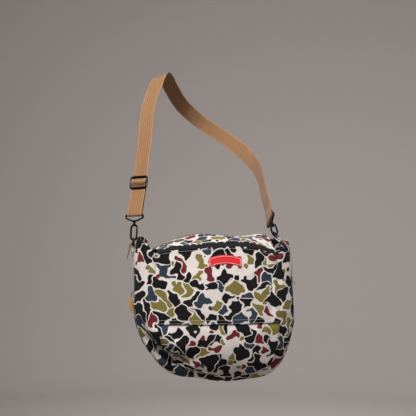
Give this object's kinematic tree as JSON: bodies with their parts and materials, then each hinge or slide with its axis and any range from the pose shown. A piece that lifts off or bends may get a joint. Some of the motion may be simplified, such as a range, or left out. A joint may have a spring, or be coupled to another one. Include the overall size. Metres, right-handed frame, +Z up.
{
  "type": "shoulder bag",
  "caption": "Soft printed canvas shoulder bag with a rounded bottom, a zip mouth and a long webbing strap on snap hooks, in the form it takes when worn",
  "frame": {"origin": "where the underside of the strap rests on the shoulder", "axes": "+Z up, the front of the bag faces -Y, +X to the right as seen from the front"},
  "size_m": [0.4156, 0.4222, 0.7749],
  "materials": {
    "canvas": "printed cotton canvas, matte",
    "zip": "black zip, matte",
    "label": "plain woven red patch",
    "webbing": "tan ribbed webbing",
    "black_metal": "satin black metal",
    "brown_leather": "brown leather lace",
    "tan_leather": "golden tan leather",
    "dark_cord": "dark thin cord"
  },
  "bodies": {
    "bag": {"front_upper_panel": "canvas", "front_lower_panel": "canvas", "back_panel": "canvas", "gusset": "canvas", "zip_band": "zip", "top_panel": "canvas", "label_patch": "label", "left_tab": "canvas", "left_ring": "black_metal", "left_hook": "black_metal", "right_tab": "canvas", "right_ring": "black_metal", "right_hook": "black_metal", "lace_front": "brown_leather", "lace_back": "brown_leather", "pull_cord": "dark_cord", "right_lace": "tan_leather", "pull_tab": "tan_leather", "slider": "black_metal", "strap": "webbing"},
    "left_gate": {"left_gate": "black_metal"},
    "right_gate": {"right_gate": "black_metal"}
  },
  "joints": [
    {"name": "left_gate_hinge", "type": "hinge", "parent": "bag", "child": "left_gate", "pos_m": [-0.09066, -0.19938, -0.3929], "axis": [0.1609, 0.9646, -0.2089], "range_deg": [0, 22], "stiffness_Nm_per_rad": 0.05},
    {"name": "right_gate_hinge", "type": "hinge", "parent": "bag", "child": "right_gate", "pos_m": [0.25597, -0.18828, -0.38769], "axis": [0.7008, 0.4709, -0.5359], "range_deg": [0, 22], "stiffness_Nm_per_rad": 0.05}
  ]
}
